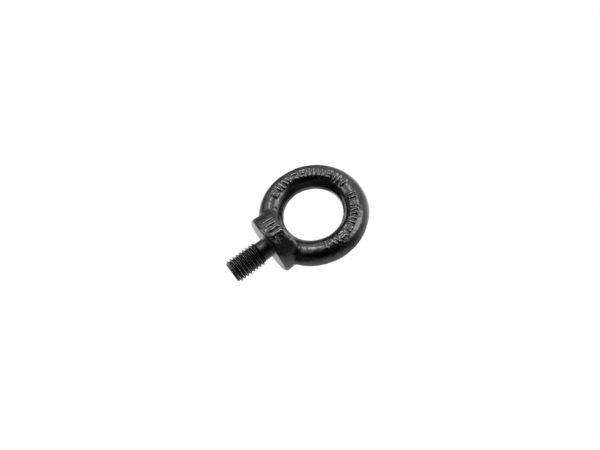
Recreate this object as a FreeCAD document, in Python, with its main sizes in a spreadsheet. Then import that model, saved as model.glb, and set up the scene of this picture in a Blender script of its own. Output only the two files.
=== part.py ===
import FreeCAD, Part
import os
import Sketcher

# Forged lifting eye bolt, M10 size: a round eye on a round collar, with a threaded stud below.
# Frame: the origin is the centre of the collar's underside, which is the face that seats on the load.
# +Z runs up the stud's axis to the eye. The eye lies in the XZ plane, so its hole runs along Y.
# Millimetres and degrees.

# Driving sizes: name, value, what it is.
SIZES = [
    ("ring_mean_radius", 17.5, "eye's centre to the middle of its round section"),
    ("ring_section_radius", 5.0, "radius of the eye's round section"),
    ("flash_land_rise", 0.4, "trimmed flash, proud of the round section inside the hole"),
    ("flash_land_width", 2.6, "width of the trimmed flash along the hole"),
    ("ring_foot_margin", 1.5, "degrees that the arms end above the collar's outline"),
    ("collar_radius", 12.5, "round collar"),
    ("collar_thickness", 1.6, "flat disc under the saddle"),
    ("collar_edge_round", 1.0, "rounding round the seat face"),
    ("saddle_top_drop", 1.4, "saddle's flat top, below the bottom of the eye's hole"),
    ("saddle_draft", 5.0, "degrees that the saddle's wall leans in, to leave the dies"),
    ("saddle_edge_round", 0.9, "rounding round the saddle's top"),
    ("neck_length", 3.75, "plain relief between collar and thread"),
    ("neck_clearance", 0.08, "relief, below the thread's roots"),
    ("stud_length", 17.4, "seat face to the stud's tip"),
    ("thread_radius", 5.0, "over the thread's crests"),
    ("thread_pitch", 1.5, "one turn"),
    ("tip_chamfer", 1.1, "chamfer round the stud's tip"),
    ("mark_height", 3.6, "raised mark, across the eye's section"),
    ("mark_stroke", 0.85, "width of one stroke"),
    ("mark_relief", 0.4, "how far marks stand out"),
    ("mark_inset", 0.5, "run of marks, inside the middle of the eye's front"),
    ("ring_mark_step", 12.5, "degrees from one mark to the next"),
    ("upper_marks_start", 206.0, "bearing of the first mark of the upper run"),
    ("side_marks_start", 70.5, "bearing of the first mark of the side run"),
    ("saddle_mark_length", 4.6, "strokes on the saddle's front"),
    ("saddle_mark_step", 2.3, "from one stroke to the next"),
    ("saddle_mark_rise", 3.3, "collar's top face to the middle of the strokes"),
]

# What follows from them. The eye's outside touches the plane of the seat face, as the standard has it.
RING_CENTRE = "(sizes.ring_mean_radius + sizes.ring_section_radius)"
FOOT_ANGLE = f"(asin(sizes.collar_radius / {RING_CENTRE}) + sizes.ring_foot_margin * 1 deg)"
ARM_ANGLE = f"(360 deg - 2 * {FOOT_ANGLE})"
LAND_RADIUS = "(sizes.ring_mean_radius - sizes.ring_section_radius - sizes.flash_land_rise)"
SADDLE_TOP = "(2 * sizes.ring_section_radius - sizes.saddle_top_drop)"
SADDLE_HEIGHT = f"({SADDLE_TOP} - sizes.collar_thickness)"
SADDLE_TOP_RADIUS = f"(sizes.collar_radius - {SADDLE_HEIGHT} * tan(sizes.saddle_draft * 1 deg))"
# Metric thread form: depth, crest flat and root flat go with the pitch.
THREAD_DEPTH = "(0.6134 * sizes.thread_pitch)"
CREST_FLAT = "(sizes.thread_pitch / 8)"
ROOT_FLAT = "(sizes.thread_pitch / 6)"
NECK_RADIUS = f"(sizes.thread_radius - {THREAD_DEPTH} - sizes.neck_clearance)"

# The marks are plain strokes in place of forged lettering: none of them is a letter or a number.
# Each stroke is (across the eye, along the eye, length, turn), the first three as shares of mark_height.
MARKS = {
    "bar": [(0.0, 0.0, 1.0, 0)],
    "pair": [(0.0, -0.25, 1.0, 0), (0.0, 0.25, 1.0, 0)],
    "steps": [(-0.37, 0.0, 0.68, 90), (0.0, 0.0, 0.68, 90), (0.37, 0.0, 0.68, 90)],
    "slants": [(0.0, -0.23, 0.95, 18), (0.0, 0.23, 0.95, 18)],
    "dashes": [(-0.3, 0.0, 0.68, 90), (0.3, 0.0, 0.68, 90)],
    "dots": [(-0.34, 0.0, 0.22, 0), (0.0, 0.0, 0.22, 0), (0.34, 0.0, 0.22, 0)],
}
UPPER_MARKS = ["steps", "pair", "slants", "dashes", "steps", "pair", "slants", "steps", "pair", "bar"]
SIDE_MARKS = ["pair", "steps", "slants", "pair", "steps", "dashes", "slants", "dots"]

doc = FreeCAD.newDocument("eye_bolt")
sheet = doc.addObject("Spreadsheet::Sheet", "sizes")
for row, (alias, number, note) in enumerate(SIZES, start=1):
    sheet.set(f"A{row}", note)
    sheet.set(f"B{row}", str(number))
    sheet.setAlias(f"B{row}", alias)
doc.recompute()

NODES = []


def size(expression):
    """The number that a formula of sheet sizes gives."""
    result = sheet.evalExpression(expression)
    return float(getattr(result, "Value", result))


def new_body(label):
    body = doc.addObject("PartDesign::Body", label)
    body.Label = label
    NODES.append(body)
    return body


def sketch_on(body, name, role):
    plane = next(item for item in body.Origin.OriginFeatures if item.Role == role)
    sketch = body.newObject("Sketcher::SketchObject", name)
    sketch.AttachmentSupport = [(plane, "")]
    sketch.MapMode = "FlatFace"
    return sketch


def tie(sketch, constraint, expression):
    """Add a constraint whose value follows the sheet."""
    index = sketch.addConstraint(constraint)
    sketch.setExpression(f"Constraints[{index}]", expression)


def tie_point(sketch, piece, corner, across, up):
    """Hold a point of a sketch at a place that follows the sheet."""
    tie(sketch, Sketcher.Constraint("DistanceX", -1, 1, piece, corner, size(across)), across)
    tie(sketch, Sketcher.Constraint("DistanceY", -1, 1, piece, corner, size(up)), up)


def draw_outline(sketch, corners):
    """A closed outline of straight lines; corners are pairs of formulas."""
    points = [FreeCAD.Vector(size(across), size(up), 0) for across, up in corners]
    first = sketch.GeometryCount
    for start, end in zip(points, points[1:] + points[:1]):
        sketch.addGeometry(Part.LineSegment(start, end), False)
    for step, (across, up) in enumerate(corners):
        before = first + (step - 1) % len(corners)
        sketch.addConstraint(Sketcher.Constraint("Coincident", before, 2, first + step, 1))
        tie_point(sketch, first + step, 1, across, up)


def draw_circle(sketch, across, up, radius):
    centre = FreeCAD.Vector(size(across), size(up), 0)
    piece = sketch.addGeometry(Part.Circle(centre, FreeCAD.Vector(0, 0, 1), size(radius)), False)
    tie(sketch, Sketcher.Constraint("Radius", piece, size(radius)), radius)
    tie_point(sketch, piece, 3, across, up)


def add_ring_axis(sketch):
    """A construction line along the eye's axis, to turn the eye's section about."""
    height = size(RING_CENTRE)
    ends = FreeCAD.Vector(-1, height, 0), FreeCAD.Vector(1, height, 0)
    line = sketch.addGeometry(Part.LineSegment(*ends), True)
    tie_point(sketch, line, 1, "-1", RING_CENTRE)
    tie_point(sketch, line, 2, "1", RING_CENTRE)


def add_ring_turn(body, kind, name, sketch, angle):
    """Turn a section about the eye's axis, half of the angle each way."""
    turn = body.newObject(kind, name)
    turn.Profile = sketch
    turn.ReferenceAxis = (sketch, ["Axis0"])
    turn.Midplane = True
    turn.setExpression("Angle", angle)
    body.Tip = turn
    return turn


def add_ring_section(body, stem, rise, additive, angle):
    """The eye's round section with its trimmed flash land, turned about the eye's axis.

    rise is +1 for a section above the eye's centre and -1 for one below it.
    """
    kind = "PartDesign::Revolution" if additive else "PartDesign::Groove"
    section = sketch_on(body, stem + "_section", "YZ_Plane")
    middle = f"{RING_CENTRE} + {rise} * sizes.ring_mean_radius"
    draw_circle(section, "0", middle, "sizes.ring_section_radius")
    add_ring_axis(section)
    add_ring_turn(body, kind, stem, section, angle)
    land = sketch_on(body, stem + "_land_section", "YZ_Plane")
    inner = f"{RING_CENTRE} + {rise} * {LAND_RADIUS}"
    side = "sizes.flash_land_width / 2"
    corners = [("-" + side, inner), (side, inner), (side, middle), ("-" + side, middle)]
    draw_outline(land, corners)
    add_ring_axis(land)
    add_ring_turn(body, kind, stem + "_land", land, angle)


# Eye: a round bar bent to a ring in the dies, open at the bottom where the saddle takes over.
eye_ring = new_body("eye_ring")
add_ring_section(eye_ring, "bar", 1, True, ARM_ANGLE)
doc.recompute()

# Collar: the round disc that seats on the load, rounded at its lower edge. The stud's neck runs up through it.
collar = new_body("collar")
disc_outline = sketch_on(collar, "disc_outline", "XY_Plane")
draw_circle(disc_outline, "0", "0", "sizes.collar_radius")
draw_circle(disc_outline, "0", "0", NECK_RADIUS)
disc = collar.newObject("PartDesign::Pad", "disc")
disc.Profile = disc_outline
disc.setExpression("Length", "sizes.collar_thickness")
collar.Tip = disc
doc.recompute()
rim = [f"Edge{number}" for number, edge in enumerate(disc.Shape.Edges, start=1)
       if isinstance(edge.Curve, Part.Circle) and edge.Curve.Radius > size(NECK_RADIUS) * 1.01
       and edge.BoundBox.ZMax < size("sizes.collar_thickness") / 2]
rounded_rim = collar.newObject("PartDesign::Fillet", "rounded_rim")
rounded_rim.Base = (disc, rim)
rounded_rim.setExpression("Radius", "sizes.collar_edge_round")
collar.Tip = rounded_rim

# Saddle: a round block that rises from the collar to the bottom of the eye's hole. Its wall leans in by the
# dies' draft, and the arms of the eye run out of its sides.
saddle = new_body("saddle")
block_outline = sketch_on(saddle, "block_outline", "XZ_Plane")
draw_outline(block_outline, [
    ("0", "sizes.collar_thickness"),
    ("sizes.collar_radius", "sizes.collar_thickness"),
    (SADDLE_TOP_RADIUS, SADDLE_TOP),
    ("0", SADDLE_TOP),
])
block = saddle.newObject("PartDesign::Revolution", "block")
block.Profile = block_outline
block.ReferenceAxis = (block_outline, ["V_Axis"])
saddle.Tip = block
doc.recompute()
top_edges = [f"Edge{number}" for number, edge in enumerate(block.Shape.Edges, start=1)
             if isinstance(edge.Curve, Part.Circle) and edge.BoundBox.ZMin > size(SADDLE_TOP) - 0.01]
rounded_top = saddle.newObject("PartDesign::Fillet", "rounded_top")
rounded_top.Base = (block, top_edges)
rounded_top.setExpression("Radius", "sizes.saddle_edge_round")
saddle.Tip = rounded_top

add_ring_section(saddle, "hole_floor", -1, True, "2 * " + FOOT_ANGLE)
add_ring_section(saddle, "arm_seat", 1, False, ARM_ANGLE)

collar_room_outline = sketch_on(saddle, "collar_room_outline", "XY_Plane")
draw_circle(collar_room_outline, "0", "0", "sizes.collar_radius")
collar_room = saddle.newObject("PartDesign::Pocket", "collar_room")
collar_room.Profile = collar_room_outline
collar_room.Reversed = True
collar_room.setExpression("Length", "sizes.collar_thickness")
saddle.Tip = collar_room

# Neck: the core that runs down through the collar from the saddle. Below the seat face it is a plain relief,
# which lets the collar pull down flat past the end of the thread.
neck = new_body("neck")
neck_outline = sketch_on(neck, "neck_outline", "XZ_Plane")
draw_outline(neck_outline, [
    ("0", "-sizes.neck_length"),
    (NECK_RADIUS, "-sizes.neck_length"),
    (NECK_RADIUS, "sizes.collar_thickness"),
    ("0", "sizes.collar_thickness"),
])
core = neck.newObject("PartDesign::Revolution", "core")
core.Profile = neck_outline
core.ReferenceAxis = (neck_outline, ["V_Axis"])
neck.Tip = core

# Threaded stud: a turned blank, chamfered at both ends, with one helical groove cut along it.
threaded_stud = new_body("threaded_stud")
blank_outline = sketch_on(threaded_stud, "blank_outline", "XZ_Plane")
draw_outline(blank_outline, [
    ("0", "-sizes.neck_length"),
    (NECK_RADIUS, "-sizes.neck_length"),
    ("sizes.thread_radius", f"-sizes.neck_length - (sizes.thread_radius - {NECK_RADIUS})"),
    ("sizes.thread_radius", "-sizes.stud_length + sizes.tip_chamfer"),
    ("sizes.thread_radius - sizes.tip_chamfer", "-sizes.stud_length"),
    ("0", "-sizes.stud_length"),
])
blank = threaded_stud.newObject("PartDesign::Revolution", "blank")
blank.Profile = blank_outline
blank.ReferenceAxis = (blank_outline, ["V_Axis"])
threaded_stud.Tip = blank

# The groove's section starts one turn below the tip and runs out one turn past the thread's top.
groove_outline = sketch_on(threaded_stud, "groove_outline", "XZ_Plane")
groove_middle = "(-sizes.stud_length - sizes.thread_pitch)"
root = f"(sizes.thread_radius - {THREAD_DEPTH})"
half_root = f"({ROOT_FLAT} / 2)"
half_crest_gap = f"((sizes.thread_pitch - {CREST_FLAT}) / 2)"
# Above the crest the flanks go on at the same slope, so that the cutter clears the blank.
mouth = f"(sizes.thread_radius + {THREAD_DEPTH} / 10)"
half_mouth = f"({half_crest_gap} + ({half_crest_gap} - {half_root}) / 10)"
draw_outline(groove_outline, [
    (root, f"{groove_middle} - {half_root}"),
    (mouth, f"{groove_middle} - {half_mouth}"),
    (mouth, f"{groove_middle} + {half_mouth}"),
    (root, f"{groove_middle} + {half_root}"),
])
thread_groove = threaded_stud.newObject("PartDesign::SubtractiveHelix", "thread_groove")
thread_groove.Profile = groove_outline
thread_groove.ReferenceAxis = (groove_outline, ["V_Axis"])
thread_groove.Mode = 0
thread_groove.setExpression("Pitch", "sizes.thread_pitch")
thread_groove.setExpression("Height", "sizes.stud_length - sizes.neck_length + 2 * sizes.thread_pitch")
threaded_stud.Tip = thread_groove
doc.recompute()


def add_ring_skin():
    """A thin shell lying on the eye's round section, as thick as the marks stand out."""
    skins = []
    for name, radius in (
        ("mark_tops", "sizes.ring_section_radius + sizes.mark_relief"),
        ("mark_feet", "sizes.ring_section_radius"),
    ):
        torus = doc.addObject("Part::Torus", name)
        torus.setExpression("Radius1", "sizes.ring_mean_radius")
        torus.setExpression("Radius2", radius)
        height = f"vector(0; 0; {RING_CENTRE})"
        torus.setExpression("Placement", f"placement({height}; rotation(vector(1; 0; 0); 90))")
        skins.append(torus)
    skin = doc.addObject("Part::Cut", "mark_skin")
    skin.Base, skin.Tool = skins
    return skin


def add_ring_stroke(name, angle, stroke):
    """One bar across the eye's front. angle runs from +X towards +Z."""
    outward, along, length, turn = stroke
    bar = doc.addObject("Part::Box", name)
    bar.setExpression("Length", f"{length} * sizes.mark_height")
    bar.setExpression("Height", "sizes.mark_stroke")
    bar.setExpression("Width", "sizes.ring_section_radius")
    radius = f"(sizes.ring_mean_radius - sizes.mark_inset + {outward} * sizes.mark_height)"
    shift = f"({along} * sizes.mark_height)"
    place, bearing = f"(({angle}) * 1 deg)", f"(({angle} + {turn}) * 1 deg)"
    back, down = f"({length} * sizes.mark_height / 2)", "(sizes.mark_stroke / 2)"
    x = f"{radius} * cos{place} - {shift} * sin{place} - {back} * cos{bearing} + {down} * sin{bearing}"
    z = f"{radius} * sin{place} + {shift} * cos{place} - {back} * sin{bearing} - {down} * cos{bearing}"
    y = "-1.2 * sizes.ring_section_radius"
    middle = f"vector({x}; {y}; {RING_CENTRE} + {z})"
    bar.setExpression("Placement", f"placement({middle}; rotation(vector(0; 1; 0); -{bearing}))")
    return bar


def add_ring_marks(label, kinds, start, skin):
    """A run of raised marks along the front of the eye, turning clockwise from its first."""
    bars = []
    for place, kind in enumerate(kinds):
        angle = f"{start} - {place} * sizes.ring_mark_step"
        for count, stroke in enumerate(MARKS[kind]):
            bars.append(add_ring_stroke(f"{label}_{place}_{count}", angle, stroke))
    strokes = doc.addObject("Part::Compound", label + "_strokes")
    strokes.Links = bars
    marks = doc.addObject("Part::Common", label)
    marks.Base, marks.Tool = strokes, skin
    marks.Label = label
    NODES.append(marks)


# Raised marks on the eye: two runs of short strokes, with a gap between them at the upper right.
ring_skin = add_ring_skin()
add_ring_marks("upper_ring_marks", UPPER_MARKS, "sizes.upper_marks_start", ring_skin)
add_ring_marks("side_ring_marks", SIDE_MARKS, "sizes.side_marks_start", ring_skin)

# Raised upright strokes on the saddle's front.
SADDLE_STROKES = 4
skins = []
for name, relief in (("saddle_mark_tops", "sizes.mark_relief"), ("saddle_mark_feet", "0")):
    cone = doc.addObject("Part::Cone", name)
    cone.setExpression("Radius1", f"sizes.collar_radius + {relief}")
    cone.setExpression("Radius2", f"{SADDLE_TOP_RADIUS} + {relief}")
    cone.setExpression("Height", SADDLE_HEIGHT)
    cone.setExpression("Placement.Base.z", "sizes.collar_thickness")
    skins.append(cone)
saddle_skin = doc.addObject("Part::Cut", "saddle_skin")
saddle_skin.Base, saddle_skin.Tool = skins
bars = []
for place in range(SADDLE_STROKES):
    bar = doc.addObject("Part::Box", f"saddle_stroke_{place}")
    bar.setExpression("Length", "sizes.mark_stroke")
    bar.setExpression("Width", "sizes.collar_radius")
    bar.setExpression("Height", "sizes.saddle_mark_length")
    x = f"{place - (SADDLE_STROKES - 1) / 2} * sizes.saddle_mark_step - sizes.mark_stroke / 2"
    y = "-sizes.collar_radius - 2 * sizes.mark_relief"
    z = "sizes.collar_thickness + sizes.saddle_mark_rise - sizes.saddle_mark_length / 2"
    bar.setExpression("Placement", f"placement(vector({x}; {y}; {z}); rotation(vector(1; 0; 0); 0))")
    bars.append(bar)
strokes = doc.addObject("Part::Compound", "saddle_strokes")
strokes.Links = bars
saddle_marks = doc.addObject("Part::Common", "saddle_marks")
saddle_marks.Base, saddle_marks.Tool = strokes, saddle_skin
saddle_marks.Label = "saddle_marks"
NODES.append(saddle_marks)

doc.recompute()
for item in doc.Objects:
    if "Invalid" in item.State or "Error" in item.State:
        raise RuntimeError(f"{item.Label} failed: {item.State}")

os.makedirs("parts", exist_ok=True)
for node in NODES:
    if node.Shape.isNull() or not node.Shape.isValid() or not node.Shape.Solids:
        raise RuntimeError(f"{node.Label} is not a sound solid")
    node.Shape.exportStep(f"parts/{node.Label}.step")
    print(f"{node.Label}: {len(node.Shape.Solids)} solid(s), {node.Shape.Volume:.1f} mm3")
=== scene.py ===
import math

import bmesh
import bpy
import numpy as np
from mathutils import Matrix, Vector, noise


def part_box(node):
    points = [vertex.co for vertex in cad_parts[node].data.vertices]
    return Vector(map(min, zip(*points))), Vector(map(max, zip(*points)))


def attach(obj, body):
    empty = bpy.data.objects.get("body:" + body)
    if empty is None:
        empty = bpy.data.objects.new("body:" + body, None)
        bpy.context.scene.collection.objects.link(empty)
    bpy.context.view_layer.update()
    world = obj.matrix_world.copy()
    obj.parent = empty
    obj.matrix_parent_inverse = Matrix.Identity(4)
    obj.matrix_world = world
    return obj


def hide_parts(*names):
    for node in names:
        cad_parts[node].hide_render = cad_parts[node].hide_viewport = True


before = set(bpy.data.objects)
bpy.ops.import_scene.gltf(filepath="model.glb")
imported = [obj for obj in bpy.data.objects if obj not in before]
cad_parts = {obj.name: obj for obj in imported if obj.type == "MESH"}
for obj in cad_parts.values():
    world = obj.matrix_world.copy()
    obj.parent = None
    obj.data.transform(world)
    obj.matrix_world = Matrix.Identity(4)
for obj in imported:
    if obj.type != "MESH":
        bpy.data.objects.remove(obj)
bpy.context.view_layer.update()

# A drop-forged lifting eye bolt: eye, saddle and collar are one blackened forging, with a turned neck
# and a cut M10 thread below. Metres, in the CAD part's own frame: the origin is the centre of the seat
# face, +Z runs up the stud to the eye, and the eye lies in the XZ plane with its marked face along -Y.

MM = 0.001

# Sizes that come from the frame.
eye_low, eye_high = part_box("eye_ring")
collar_low, collar_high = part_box("collar")
neck_low, neck_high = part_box("neck")
stud_low, stud_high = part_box("threaded_stud")
EYE_OUTSIDE = eye_high.x
SECTION = eye_high.y
EYE_MEAN = EYE_OUTSIDE - SECTION
EYE_CENTRE = eye_high.z - EYE_OUTSIDE
COLLAR_RADIUS = collar_high.x
COLLAR_TOP = collar_high.z
NECK_RADIUS = neck_high.x
THREAD_RADIUS = stud_high.y
THREAD_TOP = stud_high.z
STUD_TIP = stud_low.z

# Sizes of the forging's details. They are the CAD's, apart from the rounding at the collar's foot, which
# is larger here because that edge is knocked and worn.
LAND_RISE = 0.4 * MM
LAND_WIDTH = 2.6 * MM
SADDLE_TOP = 2 * SECTION - 1.4 * MM
SADDLE_DRAFT = math.radians(5)
SADDLE_EDGE_ROUND = 0.9 * MM
COLLAR_EDGE_ROUND = 1.4 * MM
THREAD_PITCH = 1.5 * MM
TIP_CHAMFER = 1.1 * MM
MARK_HEIGHT = 3.6 * MM
MARK_STROKE = 0.85 * MM
MARK_RELIEF = 0.4 * MM
MARK_STEP = math.radians(12.5)
MARK_INSET = 0.5 * MM
UPPER_MARKS_START = math.radians(206)
SIDE_MARKS_START = math.radians(70.5)
SADDLE_MARK_LENGTH = 4.6 * MM
SADDLE_MARK_STEP = 2.3 * MM
SADDLE_MARK_RISE = 3.3 * MM

# Mesh size of the finished skin, and of the coarser one that the fillets are rolled on.
VOXEL = 0.26 * MM
BLEND_VOXEL = 0.4 * MM
BLEND_RADIUS = 1.3 * MM

# Dents that scale leaves in the skin: depth, width and seed.
DENTS = [
    (0.12 * MM, 8 * MM, 1),
    (0.08 * MM, 2.8 * MM, 2),
    (0.035 * MM, 1.1 * MM, 3),
]
SKIN_LOSS = 0.14 * MM
PARTING_HEIGHT = 0.14 * MM
PARTING_WIDTH = 0.45 * MM
# The seat face is flat, and the dents come in over this height above it.
SEAT_HOLD = 0.6 * MM


# ---------------------------------------------------------------- mesh helpers

def to_object(bm, name):
    """Put a finished bmesh into a new object at the origin."""
    bmesh.ops.recalc_face_normals(bm, faces=bm.faces)
    mesh = bpy.data.meshes.new(name)
    bm.to_mesh(mesh)
    bm.free()
    piece = bpy.data.objects.new(name, mesh)
    bpy.context.scene.collection.objects.link(piece)
    return piece


def remeshed(bm, voxel):
    """The outer skin of everything in a bmesh, as one even mesh."""
    scratch = to_object(bm, "scratch")
    skin = scratch.modifiers.new("skin", "REMESH")
    skin.mode = "VOXEL"
    skin.voxel_size = voxel
    skin.use_smooth_shade = True
    result = bmesh.new()
    depsgraph = bpy.context.evaluated_depsgraph_get()
    result.from_object(scratch, depsgraph)
    mesh = scratch.data
    bpy.data.objects.remove(scratch)
    bpy.data.meshes.remove(mesh)
    return result


def swell(bm, distance):
    """Push every vertex out along its normal."""
    bm.normal_update()
    shifts = [vert.normal * distance for vert in bm.verts]
    for vert, shift in zip(bm.verts, shifts):
        vert.co += shift


def soften(bm, times, factor=0.5):
    """Relax the skin, which takes the voxels' steps out of it."""
    for _ in range(times):
        bmesh.ops.smooth_vert(bm, verts=bm.verts, factor=factor,
                              use_axis_x=True, use_axis_y=True, use_axis_z=True)


def shade(piece, crease_degrees):
    """Smooth shading, with creases sharper than an angle left crisp."""
    bm = bmesh.new()
    bm.from_mesh(piece.data)
    limit = math.radians(crease_degrees)
    for face in bm.faces:
        face.smooth = True
    for edge in bm.edges:
        edge.smooth = len(edge.link_faces) == 2 and edge.calc_face_angle() < limit
    bm.to_mesh(piece.data)
    bm.free()


def closed_loop(bm, points):
    """A closed loop of a few vertices, to be spun."""
    verts = [bm.verts.new(point) for point in points]
    edges = [bm.edges.new(pair) for pair in zip(verts, verts[1:] + verts[:1])]
    return verts + edges


# ---------------------------------------------------------------- the forging

def add_bar(bm):
    """The eye's round bar."""
    place = Matrix.Translation((EYE_MEAN, 0, EYE_CENTRE))
    section = bmesh.ops.create_circle(bm, radius=SECTION, segments=64, matrix=place)["verts"]
    edges = {edge for vert in section for edge in vert.link_edges}
    spin_about_eye(bm, list(section) + list(edges))


def spin_about_eye(bm, geometry):
    """Sweep a section once round the eye's axis."""
    bmesh.ops.spin(bm, geom=geometry, cent=(0, 0, EYE_CENTRE), axis=(0, 1, 0), dvec=(0, 0, 0),
                   angle=math.tau, steps=180, use_merge=True, use_duplicate=False)


def add_flash_land(bm):
    """The band left inside the hole where the flash was punched out."""
    inner = EYE_MEAN - SECTION - LAND_RISE
    outer = EYE_MEAN - SECTION / 2
    half = LAND_WIDTH / 2
    corners = [(inner, -half), (inner, half), (outer, half), (outer, -half)]
    loop = closed_loop(bm, [(across, along, EYE_CENTRE) for across, along in corners])
    spin_about_eye(bm, loop)


def add_collar_and_saddle(bm):
    """The round collar and the block above it, whose wall leans in by the dies' draft."""
    top_radius = COLLAR_RADIUS - (SADDLE_TOP - COLLAR_TOP) * math.tan(SADDLE_DRAFT)
    block = bmesh.ops.create_cone(bm, cap_ends=True, segments=160, radius1=COLLAR_RADIUS,
                                  radius2=top_radius, depth=SADDLE_TOP,
                                  matrix=Matrix.Translation((0, 0, SADDLE_TOP / 2)))["verts"]
    edges = {edge for vert in block for edge in vert.link_edges}
    foot = [edge for edge in edges if max(vert.co.z for vert in edge.verts) < COLLAR_TOP]
    rim = [edge for edge in edges if min(vert.co.z for vert in edge.verts) > COLLAR_TOP]
    for loop, offset in ((foot, COLLAR_EDGE_ROUND), (rim, SADDLE_EDGE_ROUND)):
        bmesh.ops.bevel(bm, geom=loop, offset=offset, segments=6, profile=0.5, affect="EDGES",
                        material=-1)


# The marks are plain strokes: none of them is a letter or a number. Each stroke is
# (across the eye, along the eye, length, turn in degrees), the first three as shares of MARK_HEIGHT.
MARKS = {
    "bar": [(0.0, 0.0, 1.0, 0)],
    "pair": [(0.0, -0.25, 1.0, 0), (0.0, 0.25, 1.0, 0)],
    "steps": [(-0.37, 0.0, 0.68, 90), (0.0, 0.0, 0.68, 90), (0.37, 0.0, 0.68, 90)],
    "slants": [(0.0, -0.23, 0.95, 18), (0.0, 0.23, 0.95, 18)],
    "dashes": [(-0.3, 0.0, 0.68, 90), (0.3, 0.0, 0.68, 90)],
    "dots": [(-0.34, 0.0, 0.22, 0), (0.0, 0.0, 0.22, 0), (0.34, 0.0, 0.22, 0)],
}
UPPER_MARKS = ["steps", "pair", "slants", "dashes", "steps", "pair", "slants", "steps", "pair", "bar"]
SIDE_MARKS = ["pair", "steps", "slants", "pair", "steps", "dashes", "slants", "dots"]
MARK_ROOT = 0.5 * MM


def raise_stroke(length, place):
    """One raised bar laid flat: x along the eye, y across it and z out of the surface."""
    size = Matrix.Diagonal((MARK_STROKE, length, MARK_RELIEF + MARK_ROOT, 1))
    lift = Matrix.Translation((0, 0, (MARK_RELIEF - MARK_ROOT) / 2))
    stroke = bmesh.new()
    bmesh.ops.create_cube(stroke, size=1, matrix=place @ lift @ size)
    bmesh.ops.subdivide_edges(stroke, edges=stroke.edges, cuts=5, use_grid_fill=True)
    return stroke


def join(bm, extra):
    """Move everything in one bmesh into another."""
    mesh = bpy.data.meshes.new("scratch")
    extra.to_mesh(mesh)
    extra.free()
    bm.from_mesh(mesh)
    bpy.data.meshes.remove(mesh)


def wrap_on_eye(stroke, bearing):
    """Bend a flat-laid stroke round the eye's front, at a bearing from +X towards +Z."""
    for vert in stroke.verts:
        along, across, out = vert.co
        turn = bearing - along / EYE_MEAN
        tilt = across / SECTION
        radius = EYE_MEAN + (SECTION + out) * math.sin(tilt)
        vert.co = (radius * math.cos(turn), -(SECTION + out) * math.cos(tilt),
                   EYE_CENTRE + radius * math.sin(turn))


def add_eye_marks(bm, kinds, start):
    """A run of marks on the eye's front, one step after the other from a bearing."""
    for place, kind in enumerate(kinds):
        for outward, along, length, turn in MARKS[kind]:
            shift = Matrix.Translation((-along * MARK_HEIGHT, outward * MARK_HEIGHT - MARK_INSET, 0))
            turned = Matrix.Rotation(math.radians(turn), 4, "Z")
            stroke = raise_stroke(length * MARK_HEIGHT, shift @ turned)
            wrap_on_eye(stroke, start - place * MARK_STEP)
            join(bm, stroke)


def add_saddle_marks(bm):
    """Four upright strokes on the saddle's front, bent round it."""
    for place in range(4):
        across = (place - 1.5) * SADDLE_MARK_STEP
        stroke = raise_stroke(SADDLE_MARK_LENGTH, Matrix.Translation((across, 0, 0)))
        for vert in stroke.verts:
            along, up, out = vert.co
            height = COLLAR_TOP + SADDLE_MARK_RISE + up
            radius = COLLAR_RADIUS - (height - COLLAR_TOP) * math.tan(SADDLE_DRAFT) + out
            turn = along / COLLAR_RADIUS
            vert.co = (radius * math.sin(turn), -radius * math.cos(turn), height)
        join(bm, stroke)


def blend_creases(bm):
    """Fill the creases between the eye and the saddle with the dies' round fillets."""
    bm = remeshed(bm, BLEND_VOXEL)
    swell(bm, BLEND_RADIUS)
    bm = remeshed(bm, BLEND_VOXEL)
    swell(bm, -BLEND_RADIUS)
    return bm


def ripple(place, size, seed):
    """Smooth noise from -1 to 1 with bumps about as wide as size."""
    return noise.noise(place / size + Vector((seed, 2 * seed, 3 * seed)))


def work_skin(bm):
    """Give the forging its die wear, scale dents and parting line. The seat face stays flat."""
    bm.normal_update()
    shifts = []
    for vert in bm.verts:
        place = vert.co
        dents = sum(depth * ripple(place, width, seed) for depth, width, seed in DENTS) - SKIN_LOSS
        spoke = Vector((place.x, 0, place.z - EYE_CENTRE))
        outside = spoke.length > EYE_MEAN and vert.normal.dot(spoke.normalized()) > 0.5
        ridge = 0.0
        if outside:
            strength = 0.7 + 0.5 * ripple(place, 5 * MM, 4)
            ridge = PARTING_HEIGHT * strength * math.exp(-(place.y / PARTING_WIDTH) ** 2)
        hold = min(1.0, max(0.0, place.z / SEAT_HOLD))
        shifts.append(vert.normal * (dents + ridge) * hold)
    for vert, shift in zip(bm.verts, shifts):
        vert.co += shift


def mark_worn_edges(piece):
    """Store how far each vertex stands proud of its neighbours, for the worn edges' colour."""
    mesh = piece.data
    count = len(mesh.vertices)
    places = np.empty(count * 3)
    mesh.vertices.foreach_get("co", places)
    places = places.reshape(-1, 3)
    normals = np.empty(count * 3)
    mesh.vertices.foreach_get("normal", normals)
    normals = normals.reshape(-1, 3)
    ends = np.empty(len(mesh.edges) * 2, int)
    mesh.edges.foreach_get("vertices", ends)
    one, other = ends.reshape(-1, 2).T
    step = places[other] - places[one]
    length = np.linalg.norm(step, axis=1) ** 2
    bend, links = np.zeros(count), np.zeros(count)
    np.add.at(bend, one, -(normals[one] * step).sum(1) / length)
    np.add.at(bend, other, (normals[other] * step).sum(1) / length)
    np.add.at(links, one, 1)
    np.add.at(links, other, 1)
    bend /= np.maximum(links, 1)
    for _ in range(3):
        total = bend.copy()
        np.add.at(total, one, bend[other])
        np.add.at(total, other, bend[one])
        bend = total / (links + 1)
    attribute = mesh.attributes.new("edge_wear", "FLOAT", "POINT")
    attribute.data.foreach_set("value", np.clip(bend * MM, -1, 1).astype(np.float32))


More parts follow.
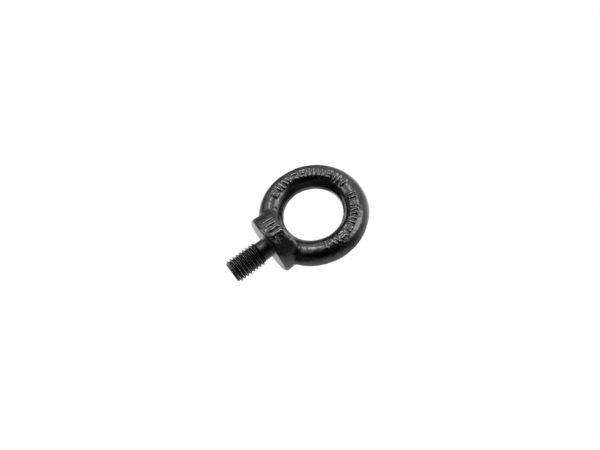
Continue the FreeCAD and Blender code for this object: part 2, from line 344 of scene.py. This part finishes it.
def make_forging():
    """Eye, saddle, collar and raised marks as one skin."""
    bm = bmesh.new()
    add_bar(bm)
    add_flash_land(bm)
    add_collar_and_saddle(bm)
    bm = blend_creases(bm)
    add_eye_marks(bm, UPPER_MARKS, UPPER_MARKS_START)
    add_eye_marks(bm, SIDE_MARKS, SIDE_MARKS_START)
    add_saddle_marks(bm)
    bm = remeshed(bm, VOXEL)
    soften(bm, 3)
    work_skin(bm)
    piece = to_object(bm, "forging")
    mark_worn_edges(piece)
    for face in piece.data.polygons:
        face.use_smooth = True
    return piece


# ---------------------------------------------------------------- neck and stud

def make_neck():
    """The turned relief, flared a little where it meets the seat face."""
    bm = bmesh.new()
    top = neck_high.z
    flare = 0.45 * MM
    profile = [(0, top), (NECK_RADIUS, top), (NECK_RADIUS, 0.3 * MM)]
    for step in range(7):
        turn = math.radians(15 * step)
        profile.append((NECK_RADIUS + flare * (1 - math.sin(turn)), -flare * (1 - math.cos(turn))))
    profile += [(NECK_RADIUS, neck_low.z), (0, neck_low.z)]
    verts = [bm.verts.new((across, 0, up)) for across, up in profile]
    edges = [bm.edges.new(pair) for pair in zip(verts, verts[1:])]
    bmesh.ops.spin(bm, geom=verts + edges, cent=(0, 0, 0), axis=(0, 0, 1), dvec=(0, 0, 0),
                   angle=math.tau, steps=96, use_merge=True, use_duplicate=False)
    bmesh.ops.remove_doubles(bm, verts=bm.verts, dist=0.001 * MM)
    piece = to_object(bm, "turned_neck")
    shade(piece, 40)
    return piece


# Depth of the metric form as a share of its pitch, and what is left of it under blacking and oil.
METRIC_DEPTH = 0.6134
ROOT_FILL = 0.92


def make_stud():
    """The cut thread: one turn's profile screwed up the stud, then cut to length and chamfered."""
    depth = ROOT_FILL * METRIC_DEPTH * THREAD_PITCH
    root = THREAD_RADIUS - depth
    half_root = THREAD_PITCH / 12
    half_crest = THREAD_PITCH / 16
    middle = THREAD_PITCH / 2
    flank = middle - half_root - half_crest
    # The root, rounded by the tool, and then the straight flank.
    rising = [(root, 0), (root + depth * 0.02, half_root * 0.8)]
    rising.append((root + depth * 0.1, half_root + flank * 0.08))
    for share in (0.35, 0.65):
        rising.append((root + depth * share, half_root + flank * share))
    # The rolled-over crest, rounded by wear and blacking.
    for share, up in ((0.86, 0.8), (0.94, 0.9), (0.985, 0.97)):
        rising.append((root + depth * share, half_root + (flank + half_crest) * up))
    rising.append((THREAD_RADIUS, middle))
    falling = [(across, THREAD_PITCH - up) for across, up in reversed(rising[:-1])]
    bm = bmesh.new()
    start = STUD_TIP - 1.5 * THREAD_PITCH
    verts = [bm.verts.new((across, 0, start + up)) for across, up in rising + falling]
    edges = [bm.edges.new(pair) for pair in zip(verts, verts[1:])]
    turns = math.ceil((THREAD_TOP - STUD_TIP) / THREAD_PITCH) + 2
    steps = 96
    bmesh.ops.spin(bm, geom=verts + edges, cent=(0, 0, 0), axis=(0, 0, 1),
                   dvec=(0, 0, THREAD_PITCH / steps), angle=turns * math.tau, steps=turns * steps,
                   use_merge=False, use_duplicate=False)
    bmesh.ops.remove_doubles(bm, verts=bm.verts, dist=0.002 * MM)
    for height, normal in ((THREAD_TOP, (0, 0, 1)), (STUD_TIP, (0, 0, -1))):
        geometry = list(bm.verts) + list(bm.edges) + list(bm.faces)
        bmesh.ops.bisect_plane(bm, geom=geometry, plane_co=(0, 0, height), plane_no=normal,
                               clear_outer=True)
        rim = [edge for edge in bm.edges if edge.is_boundary
               and all(abs(vert.co.z - height) < 0.001 * MM for vert in edge.verts)]
        bmesh.ops.edgeloop_fill(bm, edges=rim)
    for vert in bm.verts:
        limit = min(THREAD_RADIUS - TIP_CHAMFER + (vert.co.z - STUD_TIP),
                    NECK_RADIUS + (THREAD_TOP - vert.co.z))
        radius = math.hypot(vert.co.x, vert.co.y)
        if radius > limit:
            vert.co.x *= limit / radius
            vert.co.y *= limit / radius
    piece = to_object(bm, "threaded_shank")
    shade(piece, 35)
    return piece


# ---------------------------------------------------------------- materials

def colour(code):
    """An sRGB hex colour, such as 4a4b4d, as linear RGBA."""
    parts = [int(code[place:place + 2], 16) / 255 for place in (0, 2, 4)]
    linear = [part / 12.92 if part <= 0.04045 else ((part + 0.055) / 1.055) ** 2.4 for part in parts]
    return (*linear, 1.0)


def per_metre(size_mm):
    """Noise scale that gives features about this many millimetres wide."""
    return 1000 / size_mm


def wave_scale(spacing_mm):
    """Wave texture scale that sets its bands or rings this many millimetres apart."""
    return per_metre(spacing_mm) * math.tau / 20


def add(tree, kind, inputs=None, links=None, **settings):
    """Add a node with its own settings, its sockets' values and what feeds them."""
    made = tree.nodes.new(kind)
    for name, value in settings.items():
        setattr(made, name, value)
    for name, value in (inputs or {}).items():
        made.inputs[name].default_value = value
    for name, source in (links or {}).items():
        tree.links.new(source, made.inputs[name])
    return made


def new_material(name):
    """An empty node material and its tree."""
    material = bpy.data.materials.new(name)
    material.use_nodes = True
    material.node_tree.nodes.clear()
    return material, material.node_tree


def dress(piece, material):
    """Give a piece its material and its place in the table."""
    piece.data.materials.clear()
    piece.data.materials.append(material)
    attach(piece, "root")


def turning_rings(tree, where, spacing_mm):
    """A bump normal for the fine rings that a lathe tool leaves round the stud's axis."""
    wave = add(tree, "ShaderNodeTexWave",
               {"Scale": wave_scale(spacing_mm), "Distortion": 0.4, "Detail": 2, "Detail Scale": 2},
               {"Vector": where}, wave_type="RINGS", rings_direction="Z")
    return add(tree, "ShaderNodeBump", {"Strength": 0.25, "Distance": 0.02 * MM},
               {"Height": wave.outputs["Fac"]}).outputs["Normal"]


def blackened_forging():
    """Drop-forged carbon steel, blackened and oiled: a near-black skin with a soft metal sheen, mottled
    by scale, dimpled like fine orange peel, and rubbed to grey steel on its edges and raised marks."""
    material, tree = new_material("blackened_forged_steel")
    where = add(tree, "ShaderNodeTexCoord").outputs["Object"]
    patches = add(tree, "ShaderNodeTexNoise", {"Scale": per_metre(4), "Detail": 4, "Roughness": 0.6},
                  {"Vector": where}).outputs["Fac"]
    grain = add(tree, "ShaderNodeTexNoise", {"Scale": per_metre(0.7), "Detail": 3, "Roughness": 0.6},
                {"Vector": where}).outputs["Fac"]
    peel = add(tree, "ShaderNodeTexNoise", {"Scale": per_metre(1.3), "Detail": 2, "Roughness": 0.5},
               {"Vector": where}).outputs["Fac"]
    skin = add(tree, "ShaderNodeMix", {"A": colour("2c2c2c"), "B": colour("434343")}, {"Factor": patches},
               data_type="RGBA")
    wear = add(tree, "ShaderNodeAttribute", attribute_name="edge_wear").outputs["Fac"]
    rubbed = add(tree, "ShaderNodeMath", links={0: wear, 1: grain}, operation="MULTIPLY").outputs[0]
    rubbed = add(tree, "ShaderNodeMapRange", {"From Min": 0.08, "From Max": 0.3}, {"Value": rubbed},
                 interpolation_type="SMOOTHSTEP").outputs["Result"]
    finish = add(tree, "ShaderNodeMix", {"B": colour("686868")},
                 {"Factor": rubbed, "A": skin.outputs["Result"]}, data_type="RGBA")
    rough = add(tree, "ShaderNodeMapRange",
                {"From Min": 0.3, "From Max": 0.7, "To Min": 0.15, "To Max": 0.26},
                {"Value": grain}).outputs["Result"]
    dimples = add(tree, "ShaderNodeBump", {"Strength": 0.6, "Distance": 0.2 * MM}, {"Height": peel})
    pits = add(tree, "ShaderNodeBump", {"Strength": 0.4, "Distance": 0.05 * MM},
               {"Height": grain, "Normal": dimples.outputs["Normal"]})
    steel = add(tree, "ShaderNodeBsdfPrincipled", {"Metallic": 1.0},
                {"Base Color": finish.outputs["Result"], "Roughness": rough,
                 "Normal": pits.outputs["Normal"]})
    # The seat face is turned flat after forging: rings from the tool, and a thinner black.
    rings = turning_rings(tree, where, 0.5)
    faced = add(tree, "ShaderNodeBsdfPrincipled",
                {"Metallic": 1.0, "Roughness": 0.34, "Base Color": colour("3c3c3c")}, {"Normal": rings})
    height = add(tree, "ShaderNodeSeparateXYZ", links={"Vector": where}).outputs["Z"]
    above = add(tree, "ShaderNodeMapRange", {"From Min": 0.01 * MM, "From Max": 0.05 * MM},
                {"Value": height}).outputs["Result"]
    whole = add(tree, "ShaderNodeMixShader", links={0: above, 1: faced.outputs[0], 2: steel.outputs[0]})
    add(tree, "ShaderNodeOutputMaterial", links={"Surface": whole.outputs[0]})
    return material


def off_axis(tree, where):
    """How far a point is from the stud's axis."""
    apart = add(tree, "ShaderNodeSeparateXYZ", links={"Vector": where})
    flat = add(tree, "ShaderNodeCombineXYZ", links={"X": apart.outputs["X"], "Y": apart.outputs["Y"]})
    length = add(tree, "ShaderNodeVectorMath", links={0: flat.outputs["Vector"]}, operation="LENGTH")
    return length.outputs["Value"]


def blackened_thread():
    """Cut thread, blackened and oiled: darker and duller than the forging, in patches where the oil lies,
    with crests rubbed to bright steel lines."""
    material, tree = new_material("blackened_cut_thread")
    where = add(tree, "ShaderNodeTexCoord").outputs["Object"]
    grain = add(tree, "ShaderNodeTexNoise", {"Scale": per_metre(0.8), "Detail": 3, "Roughness": 0.6},
                {"Vector": where}).outputs["Fac"]
    crest = add(tree, "ShaderNodeMapRange",
                {"From Min": THREAD_RADIUS - 0.18 * MM, "From Max": THREAD_RADIUS},
                {"Value": off_axis(tree, where)}, interpolation_type="SMOOTHSTEP").outputs["Result"]
    crest = add(tree, "ShaderNodeMath", links={0: crest, 1: grain}, operation="MULTIPLY").outputs[0]
    patches = add(tree, "ShaderNodeTexNoise", {"Scale": per_metre(3), "Detail": 3, "Roughness": 0.6},
                  {"Vector": where}).outputs["Fac"]
    skin = add(tree, "ShaderNodeMix", {"A": colour("1e1e1e"), "B": colour("424242")}, {"Factor": patches},
               data_type="RGBA")
    finish = add(tree, "ShaderNodeMix", {"B": colour("b4b4b4")},
                 {"Factor": crest, "A": skin.outputs["Result"]}, data_type="RGBA")
    rough = add(tree, "ShaderNodeMapRange",
                {"From Min": 0.35, "From Max": 0.65, "To Min": 0.26, "To Max": 0.42},
                {"Value": patches}).outputs["Result"]
    cut = add(tree, "ShaderNodeBump", {"Strength": 0.4, "Distance": 0.06 * MM}, {"Height": grain})
    steel = add(tree, "ShaderNodeBsdfPrincipled", {"Metallic": 1.0},
                {"Base Color": finish.outputs["Result"], "Roughness": rough,
                 "Normal": cut.outputs["Normal"]})
    add(tree, "ShaderNodeOutputMaterial", links={"Surface": steel.outputs["BSDF"]})
    return material


def blackened_turning():
    """Turned steel relief, blackened and oiled: smooth and dark, with fine rings from the tool."""
    material, tree = new_material("blackened_turned_steel")
    where = add(tree, "ShaderNodeTexCoord").outputs["Object"]
    patches = add(tree, "ShaderNodeTexNoise", {"Scale": per_metre(1.5), "Detail": 4, "Roughness": 0.6},
                  {"Vector": where}).outputs["Fac"]
    finish = add(tree, "ShaderNodeMix", {"A": colour("202020"), "B": colour("404040")}, {"Factor": patches},
                 data_type="RGBA")
    along = add(tree, "ShaderNodeTexWave", {"Scale": wave_scale(0.6), "Distortion": 0.6, "Detail": 2},
                {"Vector": where}, wave_type="BANDS", bands_direction="Z").outputs["Fac"]
    rings = add(tree, "ShaderNodeBump", {"Strength": 0.5, "Distance": 0.04 * MM}, {"Height": along})
    steel = add(tree, "ShaderNodeBsdfPrincipled", {"Metallic": 1.0, "Roughness": 0.28},
                {"Base Color": finish.outputs["Result"], "Normal": rings.outputs["Normal"]})
    add(tree, "ShaderNodeOutputMaterial", links={"Surface": steel.outputs["BSDF"]})
    return material


# ---------------------------------------------------------------- studio

def direction(azimuth, elevation):
    """A unit vector; azimuth 0 is -Y, the marked side, and 90 is +X."""
    turn, tilt = math.radians(azimuth), math.radians(elevation)
    return Vector((math.sin(turn) * math.cos(tilt), -math.cos(turn) * math.cos(tilt), math.sin(tilt)))


# Soft boxes round the object: azimuth, elevation, half width and softness in degrees, and brightness.
SOFT_BOXES = [
    (-38, 13, 0, 56, 2.2),
    (-29, 11, 2, 7, 14.0),
    (27, 40, 0, 24, 7.8),
    (-38, -39, 10, 4, 5.5),
    (-128, -37, 0, 46, 1.7),
    (-158, -8, 0, 30, 0.3),
    (170, 78, 4, 62, 1.6),
    (133, -19, 15, 40, 1.1),
]
ROOM = 0.24
# The dark side of the room, behind the camera, and how much of the room's light it takes away.
DARK_SIDE = (31, -13, 0, 48)
DARKNESS = 0.995
# How far down the pale walls reach, over how many degrees they fade, and what is left below.
WALL_FOOT, WALL_FADE, BELOW_WALLS = -85, 35, 0.03


def light_room():
    """A soft studio: an even pale room with a few soft boxes and one dark side, seen only in reflections
    and as light. The camera itself sees plain white."""
    world = bpy.data.worlds.new("studio")
    bpy.context.scene.world = world
    world.use_nodes = True
    tree = world.node_tree
    tree.nodes.clear()
    where = add(tree, "ShaderNodeTexCoord").outputs["Generated"]

    def patch(azimuth, elevation, half_width, softness):
        towards = add(tree, "ShaderNodeVectorMath", {1: direction(azimuth, elevation)}, {0: where},
                      operation="DOT_PRODUCT").outputs["Value"]
        edge = math.cos(math.radians(half_width + softness))
        core = math.cos(math.radians(half_width))
        return add(tree, "ShaderNodeMapRange", {"From Min": edge, "From Max": core}, {"Value": towards},
                   interpolation_type="SMOOTHSTEP").outputs["Result"]

    shade_side = patch(*DARK_SIDE)
    level = add(tree, "ShaderNodeMath", {1: -ROOM * DARKNESS, 2: ROOM}, {0: shade_side},
                operation="MULTIPLY_ADD").outputs[0]
    height = add(tree, "ShaderNodeSeparateXYZ", links={"Vector": where}).outputs["Z"]
    foot = math.sin(math.radians(WALL_FOOT))
    full = math.sin(math.radians(WALL_FOOT + WALL_FADE))
    walls = add(tree, "ShaderNodeMapRange", {"From Min": foot, "From Max": full, "To Min": BELOW_WALLS},
                {"Value": height}).outputs["Result"]
    level = add(tree, "ShaderNodeMath", links={0: level, 1: walls}, operation="MULTIPLY").outputs[0]
    for azimuth, elevation, half_width, softness, brightness in SOFT_BOXES:
        glow = patch(azimuth, elevation, half_width, softness)
        level = add(tree, "ShaderNodeMath", {1: brightness}, {0: glow, 2: level},
                    operation="MULTIPLY_ADD").outputs[0]
    seen = add(tree, "ShaderNodeLightPath").outputs["Is Camera Ray"]
    shown = add(tree, "ShaderNodeMix", {"B": 1.0}, {"Factor": seen, "A": level}, data_type="FLOAT")
    room = add(tree, "ShaderNodeBackground", {"Color": colour("ffffff")},
               {"Strength": shown.outputs["Result"]})
    add(tree, "ShaderNodeOutputWorld", links={"Surface": room.outputs["Background"]})


def lay_floor():
    """A plain pale floor under the stud's tip. It fades into the white room, and it is clear from
    below, so that the low view is not blocked by it."""
    bm = bmesh.new()
    bmesh.ops.create_circle(bm, cap_ends=True, radius=2.0, segments=96,
                            matrix=Matrix.Translation((0, 0, STUD_TIP)))
    floor = to_object(bm, "floor")
    if floor.data.polygons[0].normal.z < 0:
        floor.data.flip_normals()
    material, tree = new_material("pale_floor")
    where = add(tree, "ShaderNodeTexCoord").outputs["Object"]
    fade = add(tree, "ShaderNodeMapRange", {"From Min": 0.08, "From Max": 0.45},
               {"Value": off_axis(tree, where)}, interpolation_type="SMOOTHSTEP").outputs["Result"]
    matt = add(tree, "ShaderNodeBsdfDiffuse", {"Color": colour("e8e8e8")})
    white = add(tree, "ShaderNodeEmission", {"Strength": 1.0})
    blend = add(tree, "ShaderNodeMixShader", links={0: fade, 1: matt.outputs[0], 2: white.outputs[0]})
    clear = add(tree, "ShaderNodeBsdfTransparent")
    back = add(tree, "ShaderNodeNewGeometry").outputs["Backfacing"]
    ends = add(tree, "ShaderNodeMixShader", links={0: back, 1: blend.outputs[0], 2: clear.outputs[0]})
    add(tree, "ShaderNodeOutputMaterial", links={"Surface": ends.outputs[0]})
    floor.data.materials.append(material)
    floor.visible_glossy = False
    floor.visible_shadow = False


def hang_top_light():
    """A wide soft light overhead that brings the floor up to white."""
    lamp = bpy.data.lights.new("top_light", "AREA")
    lamp.shape = "DISK"
    lamp.size = 0.5
    lamp.energy = 5.5
    top = bpy.data.objects.new("top_light", lamp)
    top.location = (-0.1, -0.1, 0.6)
    top.rotation_euler = (Vector((0, 0, 0)) - Vector(top.location)).to_track_quat("-Z", "Y").to_euler()
    top.visible_glossy = False
    bpy.context.scene.collection.objects.link(top)


# Camera: where it aims, how far off it stands, which way it looks and how it is rolled.
CAMERA_AIM = Vector((-0.08, 1.16, 15.75)) * MM
CAMERA_DISTANCE = 246.2 * MM
CAMERA_AZIMUTH, CAMERA_ELEVATION, CAMERA_ROLL = 27.0, -9.0, 54.04
LENS_MM = 36.76


def place_camera():
    """Stand the camera off from its aim, look back at it, and roll it round its own axis."""
    lens = bpy.data.cameras.new("camera")
    lens.lens = LENS_MM
    lens.sensor_width = 36
    lens.clip_start = 0.01
    camera = bpy.data.objects.new("camera", lens)
    back = direction(CAMERA_AZIMUTH, CAMERA_ELEVATION)
    camera.location = CAMERA_AIM + back * CAMERA_DISTANCE
    level = (-back).to_track_quat("-Z", "Y")
    roll = Matrix.Rotation(math.radians(CAMERA_ROLL), 3, "Z").to_quaternion()
    camera.rotation_mode = "QUATERNION"
    camera.rotation_quaternion = level @ roll
    bpy.context.scene.collection.objects.link(camera)
    bpy.context.scene.camera = camera


# ---------------------------------------------------------------- put together

forging = make_forging()
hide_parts("eye_ring", "saddle", "collar", "upper_ring_marks", "side_ring_marks", "saddle_marks")
dress(forging, blackened_forging())

neck = make_neck()
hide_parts("neck")
dress(neck, blackened_turning())
stud = make_stud()
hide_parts("threaded_stud")
dress(stud, blackened_thread())

light_room()
lay_floor()
hang_top_light()
place_camera()
bpy.context.scene.view_settings.view_transform = "Standard"
